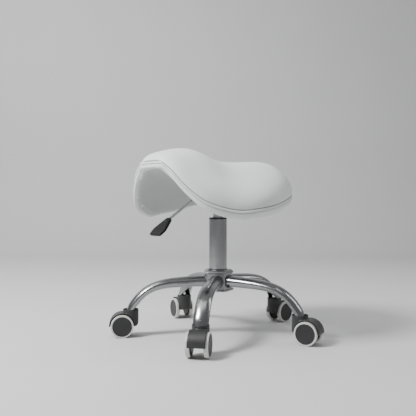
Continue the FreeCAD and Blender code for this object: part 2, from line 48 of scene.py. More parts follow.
# ----------------
# Camera.  It looks at the stool from the front right of the saddle, a little above half the
# stool's height, with a slightly long lens.

CAMERA_AZIMUTH = math.radians(45.85)
CAMERA_REACH = 1.680
CAMERA_HEIGHT = 0.3696
CAMERA_PITCH = math.radians(0.59)
CAMERA_PAN = math.radians(0.95)
CAMERA_LENS = 51.92


def from_camera(right, back, up):
    """A place in the row frame, given as seen by the camera: to its right, away from it, and up."""
    turn = Matrix.Rotation(CAMERA_AZIMUTH, 3, "Z")
    return turn @ Vector((right, back, up))


camera = bpy.data.objects.new("camera", bpy.data.cameras.new("camera"))
camera.data.lens = CAMERA_LENS
camera.data.sensor_width = 36.0
camera.location = from_camera(0.0, -CAMERA_REACH, CAMERA_HEIGHT)
camera.rotation_euler = (math.pi / 2 - CAMERA_PITCH, 0.0, CAMERA_AZIMUTH + CAMERA_PAN)
scene.collection.objects.link(camera)
scene.camera = camera


# ----------------
# Studio.  A pale paper floor that sweeps up behind the stool.  A soft box from the upper left is the
# main light, a tall narrow one draws the bright lines on the chrome, and two more light the seat from
# above and the wall; the room itself is dim.

class Wire:
    """An output inside a finish; arithmetic on wires adds Math nodes."""

    def __init__(self, finish, socket):
        self.finish = finish
        self.socket = socket

    def maths(self, operation, *values):
        return self.finish.add("ShaderNodeMath", {"operation": operation}, dict(enumerate(values)))

    def __add__(self, other):
        return self.maths("ADD", self, other)

    def __sub__(self, other):
        return self.maths("SUBTRACT", self, other)

    def __rsub__(self, other):
        return self.maths("SUBTRACT", other, self)

    def __mul__(self, other):
        return self.maths("MULTIPLY", self, other)

    __radd__ = __add__
    __rmul__ = __mul__

    def between(self, low, high):
        """0 below low, 1 above high, smooth in between."""
        return self.finish.add("ShaderNodeMapRange", {"interpolation_type": "SMOOTHSTEP"},
                               {"Value": self, "From Min": low, "From Max": high})


class Finish:
    """A material around one Principled shader; its nodes come from add()."""

    def __init__(self, name, **constants):
        self.material = bpy.data.materials.new(name)
        self.material.use_nodes = True
        self.tree = self.material.node_tree
        self.shader = self.tree.nodes["Principled BSDF"]
        self.place = self.add("ShaderNodeTexCoord", out="Object")
        self.set(**constants)

    def feed(self, socket, value):
        if isinstance(value, Wire):
            self.tree.links.new(value.socket, socket)
        else:
            socket.default_value = value

    def add(self, kind, settings=None, sockets=None, out=0):
        node = self.tree.nodes.new(kind)
        for key, value in (settings or {}).items():
            setattr(node, key, value)
        for key, value in (sockets or {}).items():
            self.feed(node.inputs[key], value)
        return Wire(self, node.outputs[out])

    def set(self, **values):
        """Values or wires for the shader, by its socket names with _ for spaces."""
        for key, value in values.items():
            name = key.replace("_", " ")
            if name == "Base Color" and not isinstance(value, Wire):
                value = (*value, 1.0)
            self.feed(self.shader.inputs[name], value)

    def clouds(self, scale, detail=3.0, roughness=0.55, vector=None):
        return self.add("ShaderNodeTexNoise", None, {"Vector": vector or self.place, "Scale": scale,
                                                     "Detail": detail, "Roughness": roughness})

    def stretched(self, x, y, z):
        return self.add("ShaderNodeVectorMath", {"operation": "MULTIPLY"}, {0: self.place, 1: (x, y, z)})

    def mix(self, share, first, second):
        """A colour between two colours."""
        first = first if isinstance(first, Wire) else (*first, 1.0)
        second = second if isinstance(second, Wire) else (*second, 1.0)
        return self.add("ShaderNodeMix", {"data_type": "RGBA"}, {0: share, 6: first, 7: second}, out=2)

    def bump(self, height, distance, strength=1.0):
        self.set(Normal=self.add("ShaderNodeBump", None, {"Height": height, "Distance": distance,
                                                          "Strength": strength}))


def link(name, mesh, *finishes):
    """An object of a mesh, shown, with its materials."""
    piece = bpy.data.objects.new(name, mesh)
    scene.collection.objects.link(piece)
    for finish in finishes:
        mesh.materials.append(finish.material)
    return piece


def mesh_of(name, points, faces, smooth=True):
    mesh = bpy.data.meshes.new(name)
    mesh.from_pydata([tuple(p) for p in points], [], faces)
    mesh.polygons.foreach_set("use_smooth", [smooth] * len(mesh.polygons))
    mesh.update()
    return mesh


FLOOR_NEAR = -5.0
SWEEP_START = 2.35
SWEEP_RADIUS = 0.75
WALL_TOP = 4.5
STUDIO_HALF_WIDTH = 7.0
SWEEP_STEPS = 16

paper = Finish("studio_paper", Specular_IOR_Level=0.25)
paper_cloud = paper.clouds(2.2)
paper.set(Base_Color=paper.mix(paper_cloud, (0.66, 0.66, 0.66), (0.70, 0.70, 0.70)),
          Roughness=0.62 + paper_cloud * 0.1)
paper.bump(paper.clouds(900.0), 0.0001, 0.4)

sweep_line = [(FLOOR_NEAR, 0.0), (SWEEP_START, 0.0)]
for step in range(1, SWEEP_STEPS + 1):
    angle = math.radians(90.0 * step / SWEEP_STEPS)
    sweep_line.append((SWEEP_START + SWEEP_RADIUS * math.sin(angle), SWEEP_RADIUS * (1 - math.cos(angle))))
sweep_line.append((SWEEP_START + SWEEP_RADIUS, WALL_TOP))
paper_points = [from_camera(side * STUDIO_HALF_WIDTH, back, up)
                for back, up in sweep_line for side in (-1, 1)]
paper_faces = [(2 * i, 2 * i + 1, 2 * i + 3, 2 * i + 2) for i in range(len(sweep_line) - 1)]
backdrop = link("studio_sweep", mesh_of("studio_sweep", paper_points, paper_faces), paper)


def lamp(name, place, aim, width, height, power):
    """A soft box of the given size that shines at a point."""
    light = bpy.data.lights.new(name, "AREA")
    light.shape = "RECTANGLE"
    light.size = width
    light.size_y = height
    light.energy = power
    box = bpy.data.objects.new(name, light)
    box.location = from_camera(*place)
    box.rotation_euler = (from_camera(*aim) - box.location).to_track_quat("-Z", "Y").to_euler()
    scene.collection.objects.link(box)


lamp("key_lamp", (-1.65, -0.9, 2.05), (0.0, 0.0, 0.25), 0.7, 0.7, 100.0)
lamp("rim_lamp", (1.9, 0.4, 1.5), (0.0, 0.0, 0.3), 0.35, 1.6, 10.0)
lamp("top_lamp", (-0.4, 0.0, 2.9), (0.0, 0.0, 0.3), 2.4, 2.4, 29.0)
lamp("wall_lamp", (-2.2, 1.0, 2.4), (-1.5, 3.1, 1.5), 2.0, 1.2, 34.0)

world = bpy.data.worlds.new("studio")
world.use_nodes = True
world.node_tree.nodes["Background"].inputs["Color"].default_value = (0.24, 0.243, 0.247, 1.0)
world.node_tree.nodes["Background"].inputs["Strength"].default_value = 1.0
scene.world = world


# ----------------
# Star base.  A cast five-sided hub takes the column; five oval tubes, bent down at their ends, are
# welded to its flats, and the whole base is polished and chrome-plated after welding.

UPWARD = Vector((0, 0, 1))
ARM_COUNT = 5
ARM_WIDTH = 0.040
ARM_DEPTH_HUB = 0.032
ARM_DEPTH_END = 0.023
ARM_WALL = 0.002
ARM_END_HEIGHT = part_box("base_arm_1")[0].z
HUB_APOTHEM = 0.034
NOTCH_HEIGHT = 0.030
NOTCH_FAR, NOTCH_NEAR = 0.034, 0.004
NOTCH_MARGIN = 0.0008
BEAD_RADIUS, BEAD_STAND = 0.0026, 0.0006
# centre line of an arm from the side: distance from the column, height
ARM_LINE = [(0.0340, 0.1490), (0.0700, 0.1484), (0.1070, 0.1466), (0.1300, 0.1448), (0.1500, 0.1420),
            (0.1680, 0.1378), (0.1850, 0.1316), (0.2020, 0.1220), (0.2170, 0.1090), (0.2295, 0.0945),
            (0.2380, 0.0820), (0.2426, 0.0690)]


def chrome(name, tint, dull, wave=0.00006):
    """Chrome plate: bright, with faint ripples of the tube below, hand marks and fine wiping lines."""
    finish = Finish(name, Metallic=1.0)
    marks = finish.clouds(38.0, 5.0, 0.62)
    wiping = finish.clouds(160.0, 2.0, 0.5, finish.stretched(1.0, 1.0, 9.0))
    smear = marks.between(0.52, 0.74)
    finish.set(Base_Color=finish.mix(smear, tint, [0.88 * c for c in tint]),
               Roughness=dull + smear * 0.07 + wiping * 0.03)
    finish.bump(finish.clouds(55.0, 2.0) + wiping * 0.12, wave)
    return finish


def smooth_line(points, steps):
    """Points along a Catmull-Rom curve through the given points, ends included."""
    points = [Vector(p) for p in points]
    ends = [2 * points[0] - points[1]] + points + [2 * points[-1] - points[-2]]
    line = []
    for i in range(1, len(ends) - 2):
        a, b, c, d = ends[i - 1:i + 3]
        for k in range(steps):
            t = k / steps
            line.append(0.5 * ((2 * b) + (c - a) * t + (2 * a - 5 * b + 4 * c - d) * t * t
                               + (3 * b - a - 3 * c + d) * t * t * t))
    line.append(points[-1])
    return line


def skin(rings, caps=False):
    """Points and faces of closed rings of equal length, joined one to the next."""
    count = len(rings[0])
    points = [p for ring in rings for p in ring]
    faces = []
    for i in range(len(rings) - 1):
        for j in range(count):
            k = (j + 1) % count
            faces.append((i * count + j, i * count + k, (i + 1) * count + k, (i + 1) * count + j))
    if caps:
        faces.append(tuple(reversed(range(count))))
        faces.append(tuple((len(rings) - 1) * count + j for j in range(count)))
    return points, faces


def settled(piece, name):
    """The piece's mesh with its modifiers applied, as a mesh of its own; the piece is removed."""
    graph = bpy.context.evaluated_depsgraph_get()
    mesh = bpy.data.meshes.new_from_object(piece.evaluated_get(graph))
    mesh.name = name
    bpy.data.objects.remove(piece)
    return mesh


def arm_mesh():
    """Oval tube swept along the arm's line, hollow, with the notch over the castor cut out."""
    line = smooth_line([(r, 0.0, z) for r, z in ARM_LINE], 5)
    lengths = [0.0]
    for a, b in zip(line, line[1:]):
        lengths.append(lengths[-1] + (b - a).length)
    across = Vector((0, 1, 0))
    rings = []
    for i, spot in enumerate(line):
        along = (line[min(i + 1, len(line) - 1)] - line[max(i - 1, 0)]).normalized()
        up = along.cross(across) * -1
        taper = min(1.0, 1.35 * lengths[i] / lengths[-1])
        depth = ARM_DEPTH_HUB + taper * (ARM_DEPTH_END - ARM_DEPTH_HUB)
        rings.append([spot + across * (ARM_WIDTH / 2 * math.cos(a)) + up * (depth / 2 * math.sin(a))
                      for a in (2 * math.pi * k / 56 for k in range(56))])
    for k, point in enumerate(rings[0]):
        rings[0][k] = Vector((HUB_APOTHEM, point.y, point.z))
    tube = link("arm_tube", mesh_of("arm_tube", *skin(rings)), arm_chrome, arm_bore)
    wall = tube.modifiers.new("wall", "SOLIDIFY")
    wall.thickness = ARM_WALL
    wall.offset = 1.0
    reach = ARM_LINE[-1][0]
    half = ARM_WIDTH / 2 - NOTCH_MARGIN
    low = ARM_END_HEIGHT - 0.001
    wedge_points = [(reach - x, y, z) for x in (NOTCH_FAR, NOTCH_NEAR)
                    for y, z in ((-half, low), (half, low), (0.0, ARM_END_HEIGHT + NOTCH_HEIGHT))]
    wedge_faces = [(2, 1, 0), (3, 4, 5), (1, 4, 3, 0), (2, 5, 4, 1), (0, 3, 5, 2)]
    wedge = link("arm_wedge", mesh_of("arm_wedge", wedge_points, wedge_faces, False))
    # a block that trims the arm's end level
    block_points = [(x, y, z) for x in (0.2, 0.28) for y in (-0.04, 0.04) for z in (0.03, ARM_END_HEIGHT)]
    block_faces = [(0, 1, 3, 2), (4, 6, 7, 5), (0, 4, 5, 1), (2, 3, 7, 6), (0, 2, 6, 4), (1, 5, 7, 3)]
    floor_cut = link("arm_floor", mesh_of("arm_floor", block_points, block_faces, False))
    for tool in (wedge, floor_cut):
        cut = tube.modifiers.new("cut", "BOOLEAN")
        cut.operation = "DIFFERENCE"
        cut.solver = "EXACT"
        cut.object = tool
    mesh = settled(tube, "arm_form")
    for tool in (wedge, floor_cut):
        bpy.data.objects.remove(tool)
    for face in mesh.polygons:
        nearest = min(line, key=lambda spot: (spot - face.center).length)
        face.material_index = 0 if (face.center - nearest).dot(face.normal) > 0 else 1
    mesh.set_sharp_from_angle(angle=math.radians(40))
    return mesh


def weld_mesh():
    """Rippled weld bead round the arm where it meets the hub's flat."""
    rings = []
    for i in range(150):
        a = 2 * math.pi * i / 150
        out = Vector((0, math.cos(a), math.sin(a)))
        middle = Vector((HUB_APOTHEM + BEAD_STAND, ARM_WIDTH / 2 * math.cos(a),
                         ARM_LINE[0][1] + ARM_DEPTH_HUB / 2 * math.sin(a)))
        size = BEAD_RADIUS * (1 + 0.10 * math.sin(34 * a) + 0.10 * noise.noise(out * 9))
        rings.append([middle + out * (size * math.cos(b)) + Vector((size * math.sin(b), 0, 0))
                      for b in (2 * math.pi * k / 12 for k in range(12))])
    rings.append(rings[0])
    return mesh_of("weld_form", *skin(rings))


def fitted(piece, body, slot, *replaced):
    """Ride and replaced nodes of a piece, in one line; the slot is not used."""
    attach(piece, body)
    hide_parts(*replaced)
    return piece


arm_chrome = chrome("chrome_arm", (0.335, 0.34, 0.345), 0.21, 0.00003)
arm_bore = Finish("arm_bore", Metallic=0.6)
bore_scale = arm_bore.clouds(180.0, 4.0, 0.6)
arm_bore.set(Base_Color=arm_bore.mix(bore_scale, (0.030, 0.030, 0.031), (0.075, 0.072, 0.070)),
             Roughness=0.55 + bore_scale * 0.2)
arm_bore.bump(bore_scale, 0.0001)
hub_chrome = chrome("chrome_hub", (0.33, 0.335, 0.34), 0.28, 0.00006)
# Much darker chrome for the weld beads and the column's collar: painted shade in the joints where the arms
# and the column meet the hub.
bead_chrome_painted_shade = chrome("chrome_bead_painted_shade", (0.13, 0.13, 0.133), 0.30, 0.00010)
arm_form = arm_mesh()
weld_form = weld_mesh()
weld_form.materials.append(bead_chrome_painted_shade.material)
# the first arm stands 36 degrees from -Y, and one arm points straight back
ARM_TURNS = [math.radians(-54 + 72 * k) for k in range(ARM_COUNT)]
for number, turn in enumerate(ARM_TURNS, start=1):
    arm = link(f"arm_{number}", arm_form)
    arm.matrix_world = Matrix.Rotation(turn, 4, "Z")
    fitted(arm, "base", "chrome_tube", f"base_arm_{number}")
    bead = link(f"arm_weld_{number}", weld_form)
    bead.matrix_world = Matrix.Rotation(turn, 4, "Z")
    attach(bead, "base")


FOOT_LOW, HUB_HIGH = (corner.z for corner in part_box("base_hub"))
BLOCK_LOW, BLOCK_HIGH = 0.127, 0.172
PLATE_APOTHEM = 0.0365
FLANGE_BEVEL = 0.006
HUB_CORNER = 0.0035
ROD_HOLE_RADIUS = 0.0065
COLUMN_RADIUS = 0.025
# outline of the hub from the side: flat's distance from the axis, height
HUB_PROFILE = [(PLATE_APOTHEM - 0.0010, FOOT_LOW), (PLATE_APOTHEM, FOOT_LOW + 0.0010),
               (PLATE_APOTHEM, BLOCK_LOW - 0.0008), (PLATE_APOTHEM - 0.0006, BLOCK_LOW),
               (HUB_APOTHEM + 0.0008, BLOCK_LOW + 0.0002), (HUB_APOTHEM, BLOCK_LOW + 0.0010),
               (HUB_APOTHEM, BLOCK_HIGH - 0.0010), (HUB_APOTHEM + 0.0008, BLOCK_HIGH - 0.0001),
               (PLATE_APOTHEM - 0.0006, BLOCK_HIGH), (PLATE_APOTHEM, BLOCK_HIGH + 0.0008),
               (PLATE_APOTHEM, HUB_HIGH - FLANGE_BEVEL - 0.0006),
               (PLATE_APOTHEM - 0.0005, HUB_HIGH - FLANGE_BEVEL + 0.0004),
               (PLATE_APOTHEM - FLANGE_BEVEL + 0.0006, HUB_HIGH - 0.0005),
               (PLATE_APOTHEM - FLANGE_BEVEL - 0.0006, HUB_HIGH)]
CORNER_STEPS = 6


def five_sided(apothem, height):
    """A level ring with five flats, one across each arm, and rounded corners."""
    ring = []
    reach = (apothem - HUB_CORNER) / math.cos(math.pi / ARM_COUNT)
    for turn in ARM_TURNS:
        corner = turn + math.pi / ARM_COUNT
        middle = Vector((math.cos(corner), math.sin(corner), 0)) * reach
        for k in range(CORNER_STEPS + 1):
            a = corner + (k / CORNER_STEPS - 0.5) * 2 * math.pi / ARM_COUNT
            ring.append(middle + Vector((math.cos(a), math.sin(a), 0)) * HUB_CORNER + UPWARD * height)
    return ring


def round_ring(radius, ring, height):
    """A level round ring whose points stand on the same bearings as another ring's."""
    return [Vector((p.x, p.y, 0)).normalized() * radius + UPWARD * height for p in ring]


def hub_mesh():
    """The casting: flanges above and below the block, and a hole for the piston rod in its foot."""
    rings = [five_sided(apothem, height) for apothem, height in HUB_PROFILE]
    rings.insert(0, round_ring(ROD_HOLE_RADIUS, rings[0], FOOT_LOW))
    rings.insert(0, round_ring(ROD_HOLE_RADIUS, rings[0], BLOCK_LOW - 0.001))
    rings.append(round_ring(COLUMN_RADIUS - 0.0002, rings[-1], HUB_HIGH))
    mesh = mesh_of("hub_casting", *skin(rings))
    mesh.set_sharp_from_angle(angle=math.radians(28))
    return mesh


fitted(link("hub_casting", hub_mesh(), hub_chrome), "base", "chrome_hub", "base_hub")


# ----------------
# Column.  A drawn steel tube, satin-polished and chromed, is pressed into the hub with a thin
# collar round its foot; a moulded black bush closes its top and guides the gas spring.

COLLAR_HEIGHT = 0.0026
TUBE_BORE = 0.0228
BUSH_RADIUS, BUSH_BORE = 0.0226, 0.01425
EDGE_ROUND = 0.0006


def eased(profile, radius, steps=4):
    """The profile with its inner corners rounded over."""
    line = [Vector(profile[0])]
    for before, corner, after in zip(profile, profile[1:], profile[2:]):
        corner = Vector(corner)
        reach_in = min(radius, (Vector(before) - corner).length * 0.45)
        reach_out = min(radius, (Vector(after) - corner).length * 0.45)
        start = corner + (Vector(before) - corner).normalized() * reach_in
        stop = corner + (Vector(after) - corner).normalized() * reach_out
        for k in range(steps + 1):
            t = k / steps
            line.append(start * (1 - t) ** 2 + corner * (2 * t * (1 - t)) + stop * t * t)
    line.append(Vector(profile[-1]))
    return line


def lathe(name, profile, finish, count=96):
    """A turned piece round Z from radii and heights; a profile that ends where it began is closed."""
    angles = [2 * math.pi * k / count for k in range(count)]
    rings = [[Vector((r * math.cos(a), r * math.sin(a), z)) for a in angles] for r, z in profile]
    mesh = mesh_of(name, *skin(rings))
    shape = bmesh.new()
    shape.from_mesh(mesh)
    bmesh.ops.remove_doubles(shape, verts=shape.verts, dist=0.000002)
    bmesh.ops.recalc_face_normals(shape, faces=shape.faces)
    shape.to_mesh(mesh)
    shape.free()
    mesh.set_sharp_from_angle(angle=math.radians(50))
    return link(name, mesh, finish)


def moulded(name, colour, rough):
    """Moulded black plastic with a fine spark texture, handling marks and a little dust."""
    finish = Finish(name, Specular_IOR_Level=0.45)
    film = finish.clouds(26.0, 6.0, 0.65).between(0.50, 0.82)
    scuffs = finish.clouds(420.0, 3.0, 0.6, finish.stretched(1.0, 0.12, 1.0)).between(0.62, 0.70)
    finish.set(Base_Color=finish.mix(film * 0.10 + scuffs * 0.10, colour, (0.16, 0.155, 0.15)),
               Roughness=rough + film * 0.14 + scuffs * 0.10)
    finish.bump(finish.clouds(2600.0, 2.0) + scuffs * 0.3, 0.00005)
    return finish


column_chrome = Finish("chrome_column", Metallic=1.0)
column_drawn = column_chrome.clouds(260.0, 3.0, 0.6, column_chrome.stretched(1.0, 1.0, 0.02))
column_marks = column_chrome.clouds(30.0, 5.0, 0.6).between(0.50, 0.76)
column_chrome.set(Base_Color=column_chrome.mix(column_marks, (0.405, 0.41, 0.415), (0.35, 0.35, 0.355)),
                  Roughness=0.27 + column_marks * 0.08 + column_drawn * 0.06)
column_chrome.bump(column_drawn, 0.00003)
bush_black = moulded("black_bush", (0.020, 0.020, 0.021), 0.36)

tube_low, tube_high = (corner.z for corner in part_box("column_tube"))
tube_outside = eased([(COLUMN_RADIUS - 0.0004, tube_low), (COLUMN_RADIUS, tube_low + 0.0006),
                      (COLUMN_RADIUS, tube_high), (TUBE_BORE, tube_high)], EDGE_ROUND)
tube_profile = [(TUBE_BORE, tube_low)] + tube_outside[1:] + [(TUBE_BORE, tube_low)]
tube = lathe("column_tube_skin", tube_profile, column_chrome)
fitted(tube, "base", "chrome_column", "column_tube")
# The collar uses the dark bead chrome, painted shade where the column meets the hub.
collar_profile = [(COLUMN_RADIUS, HUB_HIGH), (COLUMN_RADIUS + 0.0017, HUB_HIGH),
                  (COLUMN_RADIUS + 0.0013, HUB_HIGH + COLLAR_HEIGHT),
                  (COLUMN_RADIUS, HUB_HIGH + COLLAR_HEIGHT)]
collar = lathe("column_collar", eased(collar_profile, EDGE_ROUND), bead_chrome_painted_shade)
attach(collar, "base")
bush_low, bush_high = (corner.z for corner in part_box("guide_bush"))
bush_outside = eased([(BUSH_RADIUS, bush_low), (BUSH_RADIUS, tube_high), (COLUMN_RADIUS, tube_high + 0.0001),
                      (COLUMN_RADIUS, bush_high), (BUSH_BORE + 0.001, bush_high),
                      (BUSH_BORE, bush_high - 0.001)], 0.0009)
bush = lathe("guide_bush_skin", [(BUSH_BORE, bush_low)] + bush_outside + [(BUSH_BORE, bush_low)], bush_black)
fitted(bush, "base", "black_bush", "guide_bush")


# ----------------
# Gas spring.  A grey-lacquered cylinder slides in the bush; below it the bright piston rod stands on
# a thrust bearing and a rubber buffer, held through the hub's foot by a spring clip.

CYLINDER_RADIUS = 0.014
CONE_START = 0.380
CONE_TOP_RADIUS = 0.0131

cylinder_grey = Finish("grey_cylinder", Metallic=0.75, Coat_Weight=0.25, Coat_Roughness=0.25)
cylinder_streaks = cylinder_grey.stretched(1.0, 1.0, 0.12)
cylinder_rub = cylinder_grey.clouds(60.0, 4.0, 0.6, cylinder_streaks).between(0.50, 0.72)
cylinder_grey.set(Base_Color=cylinder_grey.mix(cylinder_rub, (0.52, 0.525, 0.53), (0.62, 0.62, 0.63)),
                  Roughness=0.34 - cylinder_rub * 0.08)
cylinder_grey.bump(cylinder_grey.clouds(1400.0, 2.0), 0.00003)
bright_steel = chrome("bright_steel", (0.66, 0.66, 0.66), 0.16)
zinc = Finish("zinc_steel", Metallic=1.0)
zinc_spangle = zinc.clouds(240.0, 3.0, 0.6)
zinc.set(Base_Color=zinc.mix(zinc_spangle, (0.50, 0.51, 0.50), (0.66, 0.66, 0.62)),
         Roughness=0.26 + zinc_spangle * 0.16)
zinc.bump(zinc_spangle, 0.00004)
rubber = moulded("black_rubber", (0.022, 0.022, 0.022), 0.66)

cylinder_low, cylinder_high = (corner.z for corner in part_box("gas_cylinder"))
cylinder_side = eased([(0.008, cylinder_low), (CYLINDER_RADIUS, cylinder_low), (CYLINDER_RADIUS, CONE_START),
                       (CONE_TOP_RADIUS, cylinder_high), (0.004, cylinder_high)], 0.0012)
cylinder_profile = [(0.0, cylinder_low)] + cylinder_side + [(0.0, cylinder_high)]
gas_cylinder = lathe("gas_cylinder_skin", cylinder_profile, cylinder_grey)
fitted(gas_cylinder, "seat", "grey_cylinder", "gas_cylinder")


def dress(node, finish):
    """A finish for a CAD node that stays as it is."""
    slots = nodes[node].material_slots
    if not slots:
        nodes[node].data.materials.append(finish.material)
    for place in slots:
        place.material = finish.material


for node, finish in (("piston_rod", bright_steel), ("thrust_bearing", zinc), ("rubber_buffer", rubber),
                     ("retaining_clip", zinc), ("release_pin", bright_steel)):
    dress(node, finish)


# ----------------
# Castors.  Each is a twin-wheel castor: a steel stem held in a steel sleeve in the arm's end, a black
# nylon hood, and two black wheels with ivory soft treads on one axle behind the stem.

CASTOR_CIRCLE = 0.2425
CASTOR_TRAIL = 0.0232
WHEEL_RADIUS = 0.031
CORE_RADIUS = 0.0269
CORE_BORE, CORE_BOSS, CORE_DISH, CORE_LIP = 0.0033, 0.0225, 0.0235, 0.0252
CORE_INNER, CORE_OUTER = 0.015, 0.0285
TREAD_INNER, TREAD_OUTER = 0.017, 0.0279
HOOD_GRAIN = 0.0010

nylon = moulded("black_nylon", (0.030, 0.030, 0.031), 0.40)
core_nylon = moulded("black_core", (0.022, 0.022, 0.023), 0.44)
ivory = Finish("ivory_tread", Subsurface_Weight=0.08, Subsurface_Scale=0.002, Specular_IOR_Level=0.4)
ivory_dirt = ivory.clouds(90.0, 6.0, 0.7).between(0.52, 0.80)
ivory.set(Base_Color=ivory.mix(ivory_dirt, (0.66, 0.66, 0.62), (0.42, 0.41, 0.38)),
          Roughness=0.46 + ivory_dirt * 0.2)
ivory.bump(ivory.clouds(1100.0, 3.0) + ivory_dirt * 0.5, 0.00006)


def hood_mesh():
    """The hood with every moulded edge softened, standing on the arm that points along X."""
    mesh = nodes["castor_1_hood"].data.copy()
    mesh.materials.clear()
    mesh.transform(Matrix.Rotation(-ARM_TURNS[0], 4, "Z"))
    hood = link("hood_form", mesh)
    remesh = hood.modifiers.new("skin", "REMESH")
    remesh.mode = "VOXEL"
    remesh.voxel_size = HOOD_GRAIN
    remesh.use_smooth_shade = True
    soften = hood.modifiers.new("soften", "SMOOTH")
    soften.factor = 0.5
    soften.iterations = 5
    return settled(hood, "hood_form")


def wheel_meshes(side):
    """Core and tread of one wheel, turned round the axle on the arm that points along X."""
    core_profile = [(CORE_BORE, CORE_INNER)] + eased(
        [(CORE_BORE, CORE_INNER), (CORE_BOSS, CORE_INNER), (CORE_DISH, TREAD_INNER + 0.0006),
         (CORE_RADIUS, TREAD_INNER + 0.0006), (CORE_RADIUS, TREAD_OUTER + 0.0001), (CORE_LIP, CORE_OUTER),
         (CORE_DISH, CORE_OUTER - 0.0004), (0.0, CORE_OUTER - 0.0006)], 0.0009)
    tread_profile = eased(
        [(CORE_RADIUS - 0.0003, TREAD_INNER), (WHEEL_RADIUS, TREAD_INNER), (WHEEL_RADIUS, TREAD_OUTER),
         (CORE_RADIUS - 0.0003, TREAD_OUTER)], 0.0016, 6)
    meshes = []
    for name, profile, finish in (("core", core_profile, core_nylon), ("tread", tread_profile, ivory)):
        piece = lathe(f"wheel_{name}_form", profile, finish, 112)
        piece.data.transform(Matrix.Translation((CASTOR_CIRCLE + CASTOR_TRAIL, 0, WHEEL_RADIUS))
                             @ Matrix.Rotation(math.radians(-90 * side), 4, "X"))
        meshes.append(piece.data)
        bpy.data.objects.remove(piece)
    return meshes


hood_form = hood_mesh()
hood_form.materials.append(nylon.material)
wheel_forms = {"left": wheel_meshes(1), "right": wheel_meshes(-1)}
for number, turn in enumerate(ARM_TURNS, start=1):
    place = Matrix.Rotation(turn, 4, "Z")
    hood = link(f"hood_{number}", hood_form)
    hood.matrix_world = place
    fitted(hood, f"castor_{number}", "black_nylon", f"castor_{number}_hood")
    for side, forms in wheel_forms.items():
        for part, mesh, slot in zip(("core", "tread"), forms, ("black_core", "ivory_tread")):
            piece = link(f"wheel_{number}_{side}_{part}", mesh)
            piece.matrix_world = place
            fitted(piece, f"castor_{number}_{side}_wheel", slot, f"castor_{number}_{side}_{part}")
    dress(f"castor_{number}_stem", bright_steel)
    dress(f"castor_{number}_axle", zinc)
dress("castor_sockets", bright_steel)


# ----------------
# Carrier.  A pressed steel plate with a channel welded under it, powder-coated black, carries the
# seat on four bolts; the socket in its middle grips the cylinder's cone.

PLATE_EDGE = 0.0007


def crisp(node, name, bevel, finish):
    """A copy of a CAD node with its flat faces joined up and its edges rounded over."""
    mesh = nodes[node].data.copy()
    mesh.materials.clear()
    shape = bmesh.new()
    shape.from_mesh(mesh)
    bmesh.ops.remove_doubles(shape, verts=shape.verts, dist=0.00001)
    bmesh.ops.dissolve_limit(shape, angle_limit=math.radians(1.0), verts=shape.verts, edges=shape.edges)
    shape.to_mesh(mesh)
    shape.free()
    mesh.polygons.foreach_set("use_smooth", [True] * len(mesh.polygons))
    piece = link(name, mesh, finish)
    round_over = piece.modifiers.new("edges", "BEVEL")
    round_over.width = bevel
    round_over.segments = 3
    round_over.limit_method = "ANGLE"
    round_over.angle_limit = math.radians(30)
    round_over.harden_normals = True
    return piece


coat = Finish("black_powder_coat", Specular_IOR_Level=0.5)
coat_wear = coat.clouds(70.0, 5.0, 0.65).between(0.60, 0.78)
coat.set(Base_Color=coat.mix(coat_wear, (0.018, 0.018, 0.019), (0.07, 0.07, 0.07)),
         Roughness=0.48 + coat_wear * 0.12)
coat.bump(coat.clouds(1300.0, 2.0), 0.00010)
plate = crisp("mounting_plate", "plate_and_channel", PLATE_EDGE, coat)
fitted(plate, "seat", "black_plate", "mounting_plate")
dress("taper_socket", coat)
dress("mounting_bolts", zinc)
dress("t_nuts", zinc)


# ----------------
# Height lever.  A chromed rod hinges on a cross pin in the channel, presses the release pin with its
# inner end, and carries a flared black paddle on its outer end.

ROD_RADIUS, ROD_INNER_RADIUS = 0.0038, 0.0032
ROD_SLOPE = math.radians(31.6)
PIVOT = Vector((0.0, -0.030, 0.4144))
BEND_Y = -0.020
NECK_Y = -0.176
PADDLE_SINK = 0.016
PADDLE_DROOP = ROD_SLOPE + math.radians(8.0)
# reach from the neck, half width, half thickness
PADDLE_RINGS = [(-0.0012, 0.0062, 0.0044), (0.0000, 0.0074, 0.0052), (0.0014, 0.0080, 0.0054),
                (0.0080, 0.0106, 0.0056), (0.0240, 0.0172, 0.0054), (0.0395, 0.0230, 0.0050),
                (0.0425, 0.0236, 0.0049), (0.0450, 0.0234, 0.0048), (0.0600, 0.0214, 0.0042),
                (0.0614, 0.0210, 0.0040), (0.0622, 0.0202, 0.0034)]
PADDLE_SQUARENESS = 5.0
ROD_INNER_END, ROD_BEND = 0.009, 0.009
BOSS_BORE, BOSS_RADIUS, BOSS_HALF = 0.0026, 0.0055, 0.008

lever_chrome = chrome("chrome_lever", (0.60, 0.61, 0.62), 0.12)
paddle_black = moulded("black_paddle", (0.007, 0.007, 0.0073), 0.52)
paddle_black.set(Specular_IOR_Level=0.22)


